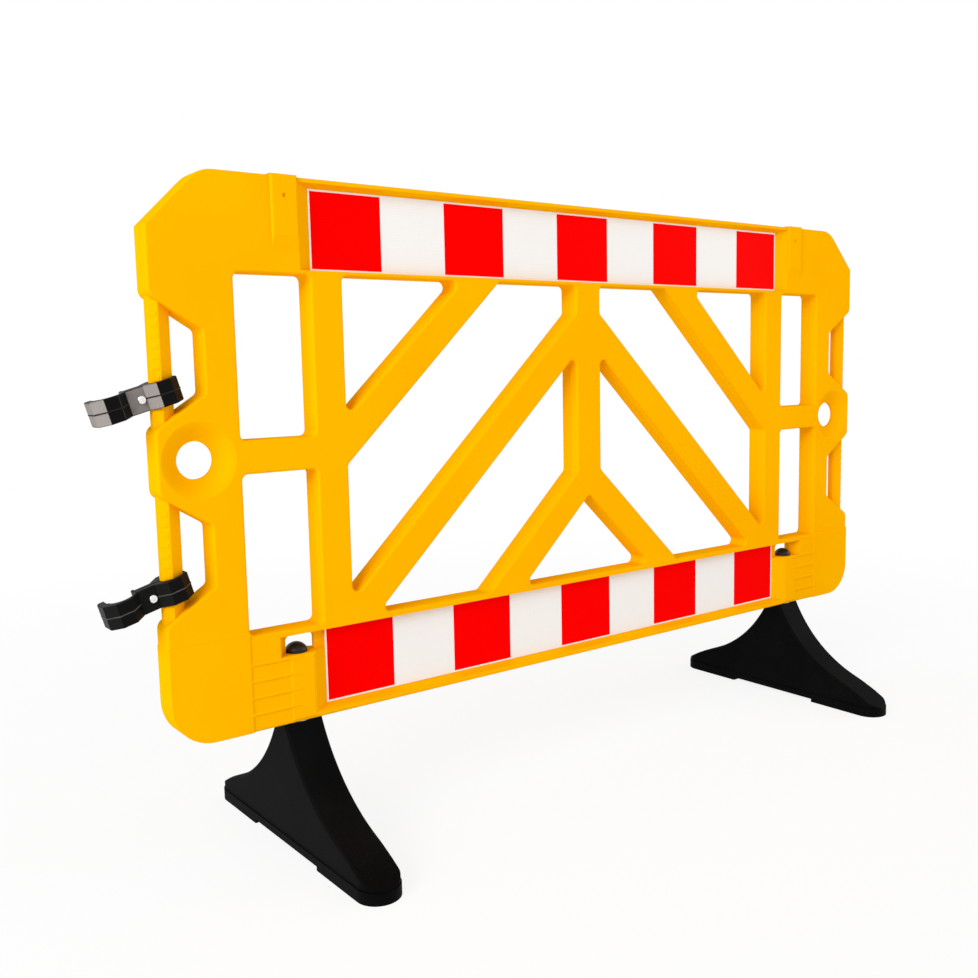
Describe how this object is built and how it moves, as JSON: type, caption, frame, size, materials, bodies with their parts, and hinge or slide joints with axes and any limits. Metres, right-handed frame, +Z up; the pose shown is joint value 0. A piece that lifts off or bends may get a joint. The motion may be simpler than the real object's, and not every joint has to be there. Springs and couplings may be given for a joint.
{
  "type": "plastic safety barrier",
  "caption": "Yellow moulded safety barrier with diagonal braces, red and white reflective bands, swivel rubber feet and hook-on clips that link it to the next barrier.",
  "frame": {"origin": "on the floor, under the panel's mid-plane, at the middle of the overall length from the clips' tips to the panel's right end", "axes": "+X along the panel towards its right end, +Z up, -Y towards the front face with the clips' bolt heads"},
  "size_m": [1.5768, 0.48, 0.948],
  "materials": {
    "yellow_plastic": "satin moulded polyethylene",
    "white_sheet": "reflective sheeting",
    "red_film": "translucent red film on the sheeting",
    "foot_rubber": "matt black moulded rubber",
    "pin_steel": "zinc plated",
    "black_plastic": "satin black moulding",
    "zinc_steel": "bright zinc"
  },
  "bodies": {
    "panel_body": {"panel": "yellow_plastic", "front_top_band": "white_sheet", "front_top_red_blocks": "red_film", "front_bottom_band": "white_sheet", "front_bottom_red_blocks": "red_film", "back_top_band": "white_sheet", "back_top_red_blocks": "red_film", "back_bottom_band": "white_sheet", "back_bottom_red_blocks": "red_film"},
    "left_foot_body": {"left_foot": "foot_rubber", "left_foot_pin": "pin_steel", "left_pin_cap": "black_plastic"},
    "right_foot_body": {"right_foot": "foot_rubber", "right_foot_pin": "pin_steel", "right_pin_cap": "black_plastic"},
    "upper_clip_body": {"upper_clip_hook": "black_plastic", "upper_clip_keeper": "black_plastic", "upper_clip_bolt": "zinc_steel", "upper_clip_nut": "zinc_steel"},
    "lower_clip_body": {"lower_clip_hook": "black_plastic", "lower_clip_keeper": "black_plastic", "lower_clip_bolt": "zinc_steel", "lower_clip_nut": "zinc_steel"}
  },
  "joints": [
    {"name": "left_foot_swivel", "type": "hinge", "parent": "panel_body", "child": "left_foot_body", "pos_m": [-0.51861, 0, 0.186], "axis": [0, 0, 1], "range_deg": [-90, 90]},
    {"name": "right_foot_swivel", "type": "hinge", "parent": "panel_body", "child": "right_foot_body", "pos_m": [0.59539, 0, 0.186], "axis": [0, 0, 1], "range_deg": [-90, 90]},
    {"name": "upper_clip_swing", "type": "hinge", "parent": "panel_body", "child": "upper_clip_body", "pos_m": [-0.69461, 0, 0.6595], "axis": [0, 0, 1], "range_deg": [-90, 90]},
    {"name": "lower_clip_swing", "type": "hinge", "parent": "panel_body", "child": "lower_clip_body", "pos_m": [-0.69461, 0, 0.4015], "axis": [0, 0, 1], "range_deg": [-90, 90]}
  ]
}
